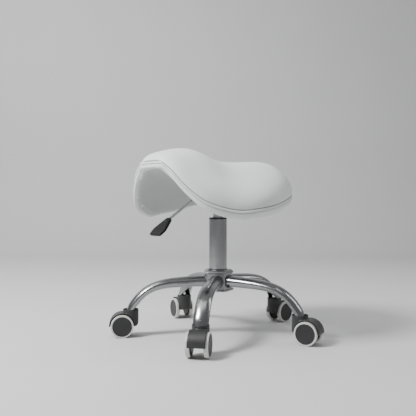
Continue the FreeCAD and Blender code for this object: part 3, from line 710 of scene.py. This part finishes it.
def rod_mesh():
    """Round bar with a rounded bend, flat at its inner end."""
    fall = Vector((0, -math.cos(ROD_SLOPE), -math.sin(ROD_SLOPE)))
    bend = PIVOT + fall * ((BEND_Y - PIVOT.y) / fall.y)
    stop = PIVOT + fall * ((NECK_Y - PIVOT.y) / fall.y + PADDLE_SINK)
    step_down = PIVOT + fall * 0.0052
    corner = eased([(ROD_INNER_END, bend.z), (bend.y, bend.z), (step_down.y, step_down.z)], ROD_BEND, 8)
    corner += [Vector((step_down.y, step_down.z)) + Vector((fall.y, fall.z)) * 0.0006,
               Vector((stop.y, stop.z))]
    line = [Vector((0, y, z)) for y, z in corner]
    rings = []
    for i, spot in enumerate(line):
        along = (line[min(i + 1, len(line) - 1)] - line[max(i - 1, 0)]).normalized()
        up = Vector((1, 0, 0)).cross(along)
        girth = ROD_INNER_RADIUS if spot.y > PIVOT.y else ROD_RADIUS
        rings.append([spot + (Vector((1, 0, 0)) * math.cos(a) + up * math.sin(a)) * girth
                      for a in (2 * math.pi * k / 28 for k in range(28))])
    mesh = mesh_of("lever_bar", *skin(rings, caps=True))
    mesh.set_sharp_from_angle(angle=math.radians(50))
    return mesh


def paddle_mesh():
    """Flared paddle with a flat face on top, its thickness falling away to the tip."""
    along = Vector((0, -math.cos(PADDLE_DROOP), -math.sin(PADDLE_DROOP)))
    up = Vector((0, -math.sin(PADDLE_DROOP), math.cos(PADDLE_DROOP)))
    fall = Vector((0, -math.cos(ROD_SLOPE), -math.sin(ROD_SLOPE)))
    neck = PIVOT + fall * ((NECK_Y - PIVOT.y) / fall.y)
    rings = []
    for reach, half_width, half_thick in PADDLE_RINGS:
        ring = []
        for a in (2 * math.pi * k / 48 for k in range(48)):
            c, s = math.cos(a), math.sin(a)
            x = math.copysign(abs(c) ** (2 / PADDLE_SQUARENESS), c) * half_width
            z = math.copysign(abs(s) ** (2 / PADDLE_SQUARENESS), s) * half_thick
            ring.append(neck + along * reach + Vector((x, 0, 0)) + up * z)
        rings.append(ring)
    return mesh_of("lever_paddle_form", *skin(rings, caps=True))


rod = link("lever_bar", rod_mesh(), lever_chrome)
fitted(rod, "lever", "chrome_lever", "lever_rod")
boss_profile = [(BOSS_BORE, -BOSS_HALF), (BOSS_RADIUS, -BOSS_HALF),
                (BOSS_RADIUS, BOSS_HALF), (BOSS_BORE, BOSS_HALF)]
boss = lathe("lever_boss", eased(boss_profile, EDGE_ROUND), lever_chrome, 40)
boss.matrix_world = Matrix.Translation(PIVOT) @ Matrix.Rotation(math.radians(90), 4, "Y")
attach(boss, "lever")
paddle = link("lever_grip", paddle_mesh(), paddle_black)
round_paddle = paddle.modifiers.new("round", "SUBSURF")
round_paddle.levels = 1
round_paddle.render_levels = 1
fitted(paddle, "lever", "black_paddle", "lever_paddle")
dress("lever_pivot_pin", zinc)


# ----------------
# Saddle cushion.  White leatherette over moulded foam on a bent plywood board: a top panel sewn to a
# low border, the seam lying in a groove with a raised ridge below it, and the border pulled under
# the board's rim.  The foam pushes the panel up between its seams.

LOOP_POINTS = 320
SPINE_MIDDLE, SPINE_HALF, SPINE_HEIGHT = -0.025, 0.150, 0.385
BORDER_NOSE, BORDER_REAR, BORDER_FLAP = 0.016, 0.010, 0.012
TUCK = (0.0150, 0.0118, 0.0090, 0.0062, 0.0035, 0.0015)
TUCK_LIFT, TUCK_DROP = 0.0012, 0.0003
TUCK_UNDER = 0.0048
STEEPEST = 2.2
# where the rows lie: up from the border's lower edge, then to either side of the seam
BORDER_LOW = (0.0, 0.0022, 0.0046)
BORDER_MIDDLE = 2
NEAR_SEAM = (-0.0088, -0.0080, -0.0074, -0.0066, -0.0052, -0.0036, -0.0022, -0.0013, -0.0006, 0.0,
             0.0007, 0.0014, 0.0023, 0.0035, 0.0052, 0.0078, 0.0112)
TOP_ROWS = 40
SIGHT_STEPS = 90
GROOVE_DEPTH, GROOVE_HALF = 0.0024, 0.0009
RIDGE_HEIGHT, RIDGE_PLACE, RIDGE_HALF = 0.0011, -0.0040, 0.0022
CREASE_DEPTH, CREASE_PLACE, CREASE_HALF = 0.0014, -0.0076, 0.0008
BORDER_CROWN = 0.0022
PANEL_SWELL, SWELL_RISE, SWELL_FADE = 0.0022, 0.007, 0.11
PUCKER_HEIGHT, PUCKER_FADE = 0.00055, 0.010


def solid_of(node):
    """A CAD node's surface, to be looked up by rays."""
    mesh = nodes[node].data
    return BVHTree.FromPolygons([v.co for v in mesh.vertices], [p.vertices for p in mesh.polygons])


pad_solid = solid_of("seat_pad")
cover_solid = solid_of("underside_cover")


def underside_height(x, y):
    """The lowest face of the seat over a place, lining or border."""
    below = Vector((x, y, 0.25))
    hits = [solid.ray_cast(below, UPWARD, 0.3)[0] for solid in (cover_solid, pad_solid)]
    return min((hit.z for hit in hits if hit is not None), default=None)


def sight(turn, tilt):
    """Where the cushion's outside is, looked at from outside along a line to its spine."""
    spine = Vector((0.0, SPINE_MIDDLE - SPINE_HALF * math.cos(turn), SPINE_HEIGHT))
    out = Vector((math.sin(turn) * math.cos(tilt), -math.cos(turn) * math.cos(tilt), math.sin(tilt)))
    return pad_solid.ray_cast(spine + out * 0.5, -out, 0.48)[0]


def rim_tilt(turn):
    """The lowest line of sight that still meets the cushion: it passes the lower edge."""
    low, high = math.radians(-40), math.radians(80)
    for _ in range(18):
        middle = (low + high) / 2
        if sight(turn, middle) is None:
            low = middle
        else:
            high = middle
    return high


def spread(values, count):
    """Indices, with fractions, that part a closed line evenly."""
    lengths = [0.0]
    for i in range(len(values)):
        lengths.append(lengths[-1] + (values[(i + 1) % len(values)] - values[i]).length)
    places, i = [], 0
    for k in range(count):
        want = lengths[-1] * k / count
        while lengths[i + 1] < want:
            i += 1
        places.append(i + (want - lengths[i]) / (lengths[i + 1] - lengths[i]))
    return places


def along_line(line, lengths, want):
    """The point a given length along an open line."""
    want = min(max(want, 0.0), lengths[-1])
    i = 0
    while i < len(lengths) - 2 and lengths[i + 1] < want:
        i += 1
    share = (want - lengths[i]) / max(lengths[i + 1] - lengths[i], 1e-9)
    return line[i].lerp(line[i + 1], min(share, 1.0))


def ring_smooth(values, times):
    """A closed row of numbers or points, evened out."""
    for _ in range(times):
        values = [values[i - 1] * 0.25 + values[i] * 0.5 + values[(i + 1) % len(values)] * 0.25
                  for i in range(len(values))]
    return values


def border_height(turn):
    """The border is deepest under the thighs and lowest at the back."""
    ends = (BORDER_NOSE + BORDER_REAR) / 2 + (BORDER_NOSE - BORDER_REAR) / 2 * math.cos(turn)
    return ends + BORDER_FLAP * math.sin(turn) ** 4


def slant(spot):
    """How much longer a drop must be on the sloping underside for its gap square to it to stay."""
    reach = 0.003
    sides = [underside_height(spot.x + dx, spot.y + dy)
             for dx, dy in ((reach, 0), (-reach, 0), (0, reach), (0, -reach))]
    if None in sides:
        return STEEPEST
    rise = Vector((sides[0] - sides[1], sides[2] - sides[3])) / (2 * reach)
    return min(math.sqrt(1 + rise.length_squared), STEEPEST)


def clear_of_board(spot, gap):
    """The same point, let down where it stands less than the gap below the underside."""
    height = underside_height(spot.x, spot.y)
    if height is None:
        return spot
    return Vector((spot.x, spot.y, min(spot.z, height - gap * slant(spot))))


def cushion_rows():
    """Rows of points round the cushion, from under its rim over the border to the spine."""
    rough_turns = [2 * math.pi * k / 360 for k in range(360)]
    rough_rim = [sight(turn, rim_tilt(turn) + 0.002) for turn in rough_turns]
    turns = [math.radians(place) for place in spread(rough_rim, LOOP_POINTS)]
    tilts = ring_smooth([rim_tilt(turn) + 0.001 for turn in turns], 3)
    columns = []
    for turn, tilt in zip(turns, tilts):
        line = []
        for k in range(SIGHT_STEPS + 1):
            spot = sight(turn, tilt + (math.pi / 2 - tilt) * k / SIGHT_STEPS)
            if spot is not None:
                line.append(spot)
        lengths = [0.0]
        for a, b in zip(line, line[1:]):
            lengths.append(lengths[-1] + (b - a).length)
        height = border_height(turn)
        room = height + NEAR_SEAM[0] - BORDER_LOW[-1]
        marks = list(BORDER_LOW)
        marks += [BORDER_LOW[-1] + room * k / (BORDER_MIDDLE + 1) for k in range(1, BORDER_MIDDLE + 1)]
        marks += [height + place for place in NEAR_SEAM]
        start = height + NEAR_SEAM[-1]
        marks += [start + (lengths[-1] - start) * (k / TOP_ROWS) ** 1.15 for k in range(1, TOP_ROWS + 1)]
        columns.append([along_line(line, lengths, mark) for mark in marks])
    rows = [list(row) for row in zip(*columns)]
    rows[0] = ring_smooth(rows[0], 4)
    outward = []
    for j in range(LOOP_POINTS):
        along = rows[0][(j + 1) % LOOP_POINTS] - rows[0][j - 1]
        outward.append(Vector((along.y, -along.x, 0)).normalized())
    tucked = []
    for inset in TUCK:
        row = []
        for j in range(LOOP_POINTS):
            spot = rows[0][j] - outward[j] * inset
            height = underside_height(spot.x, spot.y)
            row.append(Vector((spot.x, spot.y, rows[0][j].z if height is None else height)))
        row = ring_smooth(row, 4)
        if inset > TUCK_UNDER:
            tucked.append([spot + Vector((0, 0, TUCK_LIFT)) for spot in row])
        else:
            tucked.append([clear_of_board(spot, TUCK_DROP) for spot in row])
    return tucked + rows, turns


def even_out(rows, first, last, times):
    """Moves each point towards the middle of its four neighbours; the outer rows stay."""
    for _ in range(times):
        fresh = [list(row) for row in rows]
        for i in range(first, last):
            for j in range(LOOP_POINTS):
                before, after = rows[i][j - 1], rows[i][(j + 1) % LOOP_POINTS]
                middle = (rows[i - 1][j] + rows[i + 1][j] + before + after) / 4
                fresh[i][j] = rows[i][j].lerp(middle, 0.5)
        rows = fresh
    return rows


def row_normals(rows):
    """The outward direction at each point of the rows."""
    normals = []
    for i, row in enumerate(rows):
        above, below = rows[min(i + 1, len(rows) - 1)], rows[max(i - 1, 0)]
        normals.append([(row[(j + 1) % LOOP_POINTS] - row[j - 1]).cross(above[j] - below[j]).normalized()
                        for j in range(LOOP_POINTS)])
    return normals


def swell(depth):
    """How far the panel stands out of the seam, a given way in from it."""
    return PANEL_SWELL * (1 - math.exp(-depth / SWELL_RISE)) * math.exp(-depth / SWELL_FADE)


rows, loop_turns = cushion_rows()
edge_row = len(TUCK)
seam_row = edge_row + len(BORDER_LOW) + BORDER_MIDDLE + NEAR_SEAM.index(0.0)
rows = even_out(rows, 2, edge_row + 4, 2)
rows = even_out(rows, seam_row + 2, len(rows) - 1, 10)
spine_row = rows[-1]
for j in range(LOOP_POINTS // 2 + 1):
    pair = spine_row[j].lerp(spine_row[-j % LOOP_POINTS], 0.5)
    spine_row[j] = pair.copy()
    spine_row[-j % LOOP_POINTS] = pair.copy()
normals = row_normals(rows)
depths = []
for j in range(LOOP_POINTS):
    column, total = [], 0.0
    for i in range(len(rows)):
        if i:
            total += (rows[i][j] - rows[i - 1][j]).length
        column.append(total)
    depths.append([value - column[seam_row] for value in column])
shaped_rows = []
for i, row in enumerate(rows):
    fresh = []
    for j, spot in enumerate(row):
        depth = depths[j][i]
        stand = -GROOVE_DEPTH * math.exp(-(depth / GROOVE_HALF) ** 2)
        stand += RIDGE_HEIGHT * math.exp(-((depth - RIDGE_PLACE) / RIDGE_HALF) ** 2)
        stand -= CREASE_DEPTH * math.exp(-((depth - CREASE_PLACE) / CREASE_HALF) ** 2)
        if edge_row <= i < seam_row:
            stand += BORDER_CROWN * math.cos(math.pi / 2 * (1 + depth / border_height(loop_turns[j]))) ** 0.5
        if 0 < depth and i < len(rows) - 6:
            stand += swell(depth)
            pucker = noise.noise(Vector((loop_turns[j] * 14, depth * 30, 3.1)))
            stand += PUCKER_HEIGHT * pucker * math.exp(-depth / PUCKER_FADE)
        if i < edge_row:
            stand = 0.0
        fresh.append(spot + normals[i][j] * stand)
    shaped_rows.append(fresh)

cushion_points, cushion_faces = skin(shaped_rows)
cushion_mesh = mesh_of("saddle_cushion", cushion_points, cushion_faces)
# The seam attribute is painted shade: it marks the seam groove, and at half strength the crease below the
# ridge, where the colour is darkened.
seam_shade_mark = cushion_mesh.attributes.new("seam", "FLOAT", "POINT")
seam_shade_mark.data.foreach_set("value", [
    math.exp(-(depths[j][i] / 0.0010) ** 2) + 0.5 * math.exp(-((depths[j][i] - CREASE_PLACE) / 0.0009) ** 2)
    for i in range(len(rows)) for j in range(LOOP_POINTS)])
weld = bmesh.new()
weld.from_mesh(cushion_mesh)
bmesh.ops.remove_doubles(weld, verts=weld.verts, dist=0.00002)
weld.to_mesh(cushion_mesh)
weld.free()

leatherette = Finish("white_leatherette", Specular_IOR_Level=0.45)
leather_cloud = leatherette.clouds(9.0, 4.0, 0.55)
leather_grain = leatherette.add("ShaderNodeTexVoronoi", {"feature": "SMOOTH_F1"},
                                {"Vector": leatherette.place, "Scale": 1150.0, "Smoothness": 0.6})
leather_creases = leatherette.clouds(210.0, 5.0, 0.62)
seam_shade = leatherette.add("ShaderNodeAttribute", {"attribute_name": "seam"}, out="Fac")
leather_white = leatherette.mix(leather_cloud, (0.80, 0.815, 0.82), (0.84, 0.85, 0.855))
leather_soiling = leather_creases.between(0.60, 0.80) * 0.25
leather_soiled = leatherette.mix(leather_soiling, leather_white, (0.66, 0.66, 0.655))
# Painted shade: the white is pulled towards near-black along the seam groove and the crease.
leatherette.set(Base_Color=leatherette.mix(seam_shade * 0.85, leather_soiled, (0.11, 0.11, 0.115)),
                Roughness=0.40 + leather_cloud * 0.08 + leather_grain * 0.06)
leatherette.bump(leather_grain * 0.7 + leather_creases * 0.5, 0.00007)

cushion = link("saddle_cushion", cushion_mesh, leatherette)
cushion_soft = cushion.modifiers.new("soft", "SUBSURF")
cushion_soft.levels = 1
cushion_soft.render_levels = 1
fitted(cushion, "seat", "white_leatherette", "seat_pad")

# The stitches that hold the seam's turned edge down, in the ridge below the groove.
STITCH_RADIUS = 0.00032
STITCH_SHARE = 0.72
STITCH_ROW = seam_row - 5


def stitch_mesh(row):
    """Short rounded threads, one between each two points of a row of the cushion."""
    points, faces = [], []
    for j in range(LOOP_POINTS):
        start = shaped_rows[row][j] + normals[row][j] * 0.0001
        stop = start.lerp(shaped_rows[row][(j + 1) % LOOP_POINTS] + normals[row][j] * 0.0001, STITCH_SHARE)
        along = (stop - start).normalized()
        up = normals[row][j]
        side = along.cross(up)
        rings = []
        for share, girth in ((0.0, 0.25), (0.06, 0.8), (0.3, 1.0), (0.7, 1.0), (0.94, 0.8), (1.0, 0.25)):
            spot = start.lerp(stop, share)
            rings.append([spot + (side * math.cos(a) + up * math.sin(a)) * (STITCH_RADIUS * girth)
                          for a in (2 * math.pi * k / 8 for k in range(8))])
        more_points, more_faces = skin(rings, caps=True)
        faces += [tuple(len(points) + index for index in face) for face in more_faces]
        points += more_points
    return mesh_of("seat_stitches", points, faces)


thread = Finish("white_thread")
thread_twist = thread.add("ShaderNodeTexWave", {"wave_type": "BANDS", "bands_direction": "DIAGONAL"},
                          {"Vector": thread.place, "Scale": 900.0, "Distortion": 2.0})
thread.set(Base_Color=thread.mix(thread_twist, (0.60, 0.61, 0.62), (0.74, 0.75, 0.76)),
           Roughness=0.60 + thread_twist * 0.1)
thread.bump(thread_twist, 0.00005)
stitches = link("seat_stitches", stitch_mesh(STITCH_ROW), thread)
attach(stitches, "seat")


# ----------------
# Underside.  A grey non-woven lining closes the board's hollow; its edge and the border's turned-in
# edge are stapled together into the plywood.

STAPLE_COUNT = 64
STAPLE_SPAN, STAPLE_WIRE = 0.0100, 0.0005
# share of the span, and how deep the wire sinks there
STAPLE_BEND = ((-0.02, 0.0016), (0.0, 0.0004), (0.06, 0.0), (0.94, 0.0), (1.0, 0.0004), (1.02, 0.0016))

lining = Finish("grey_lining", Specular_IOR_Level=0.2)
lining_fibres = lining.clouds(900.0, 4.0, 0.7, lining.stretched(1.0, 0.35, 1.0))
lining_cloud = lining.clouds(24.0, 4.0, 0.6)
lining_dots = lining.add("ShaderNodeTexVoronoi", {"feature": "F1"}, {"Vector": lining.place, "Scale": 420.0})
# The hem attribute paints a highlight: the lining's colour is lighter towards the rim, where the rolled hem
# catches light.
lining_hem_highlight = lining.add("ShaderNodeAttribute", {"attribute_name": "hem"}, out="Fac")
lining_grey = lining.mix(lining_fibres * 0.6 + lining_cloud * 0.4, (0.41, 0.42, 0.42), (0.53, 0.54, 0.535))
lining.set(Base_Color=lining.mix(lining_hem_highlight, lining_grey, (0.72, 0.73, 0.73)),
           Roughness=0.80 + lining_fibres * 0.12)
lining.bump(lining_fibres + lining_dots.between(0.0, 0.5) * 0.6, 0.00018)
plywood = Finish("plywood")
ply_layers = plywood.add("ShaderNodeTexWave", {"wave_type": "BANDS", "bands_direction": "Z"},
                         {"Vector": plywood.place, "Scale": 110.0, "Distortion": 1.5})
ply_fibres = plywood.clouds(120.0, 5.0, 0.6, plywood.stretched(0.2, 1.0, 1.0))
ply_figure = ply_layers * 0.6 + ply_fibres * 0.4
plywood.set(Base_Color=plywood.mix(ply_figure, (0.34, 0.22, 0.12), (0.56, 0.41, 0.25)),
            Roughness=0.62 + ply_fibres * 0.15)
plywood.bump(ply_fibres, 0.0002)
dress("seat_board", plywood)

HEM_INSETS = (0.0030, 0.0032, 0.0038, 0.0050, 0.0064, 0.0082, 0.0105, 0.0140, 0.0190)
HEM_ROLL_HEIGHT, HEM_ROLL_PLACE, HEM_ROLL_HALF = 0.0011, 0.0062, 0.0026
HEM_BURIED = 0.0016
HEM_ROW = 6
LINING_ROWS = 26
LINING_SAG = 0.0016
HEM_HIGHLIGHT_FADE = 0.0085
CLOTH_GAP = 0.0008


def lining_rows():
    """Rows from the hem to the spine; the hem is a soft roll, and the cloth sags a little inside it."""
    rim = rows[edge_row]
    found = []
    for k in range(len(HEM_INSETS) + LINING_ROWS):
        row = []
        for j in range(LOOP_POINTS):
            along = rim[(j + 1) % LOOP_POINTS] - rim[j - 1]
            out = Vector((along.y, -along.x, 0)).normalized()
            spine = Vector((0.0, SPINE_MIDDLE - SPINE_HALF * math.cos(loop_turns[j]), rim[j].z))
            inset = HEM_INSETS[min(k, len(HEM_INSETS) - 1)]
            spot = rim[j] - out * inset
            if k >= len(HEM_INSETS):
                spot = spot.lerp(spine, (k - len(HEM_INSETS) + 1) / LINING_ROWS)
            height = underside_height(spot.x, spot.y)
            if height is None:
                height = found[-1][j].z if found else rim[j].z
            roll = 0.0
            if k < len(HEM_INSETS):
                roll = HEM_ROLL_HEIGHT * math.exp(-((inset - HEM_ROLL_PLACE) / HEM_ROLL_HALF) ** 2)
            way_in = (spot - rim[j]).length - HEM_INSETS[HEM_ROW]
            sag = LINING_SAG * (1 - math.exp(-max(way_in, 0.0) / 0.02))
            row.append(Vector((spot.x, spot.y, height - (CLOTH_GAP + roll) * slant(spot) - sag)))
        found.append(ring_smooth(row, 2))
    for j in range(LOOP_POINTS):
        found[0][j].z += HEM_BURIED
    found = even_out(found, len(HEM_INSETS), len(found) - 1, 5)
    return found[:1] + [[clear_of_board(spot, CLOTH_GAP) for spot in row] for row in found[1:]]


cloth_rows = lining_rows()
cloth_mesh = mesh_of("underside_lining", *skin(cloth_rows))
# Painted highlight along the rolled hem, fading inwards from the rim.
hem_highlight_mark = cloth_mesh.attributes.new("hem", "FLOAT", "POINT")
hem_highlight_mark.data.foreach_set("value", [math.exp(-((row[j] - cloth_rows[0][j]).length / HEM_HIGHLIGHT_FADE) ** 2)
                                    for row in cloth_rows for j in range(LOOP_POINTS)])
cloth = link("underside_lining", cloth_mesh, lining)
fitted(cloth, "seat", "grey_lining", "underside_cover")


def staple_mesh():
    """Wire staples lying flat in the hem, along the rim."""
    points, faces = [], []
    hem = cloth_rows[HEM_ROW]
    for k in range(STAPLE_COUNT):
        j = round(k * LOOP_POINTS / STAPLE_COUNT) % LOOP_POINTS
        before, after = hem[j - 1], hem[(j + 1) % LOOP_POINTS]
        run = (after - before).normalized()
        middle = hem[j] - UPWARD * (STAPLE_WIRE * 0.6)
        start, stop = middle - run * (STAPLE_SPAN / 2), middle + run * (STAPLE_SPAN / 2)
        side = run.cross(UPWARD).normalized()
        up = side.cross(run)
        rings = []
        for place, sink in STAPLE_BEND:
            spot = start.lerp(stop, place) + up * sink
            rings.append([spot + (side * math.cos(a) + up * math.sin(a)) * STAPLE_WIRE
                          for a in (2 * math.pi * n / 8 for n in range(8))])
        more_points, more_faces = skin(rings, caps=True)
        faces += [tuple(len(points) + index for index in face) for face in more_faces]
        points += more_points
    return mesh_of("lining_staples", points, faces)


staples = link("lining_staples", staple_mesh(), bright_steel)
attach(staples, "seat")
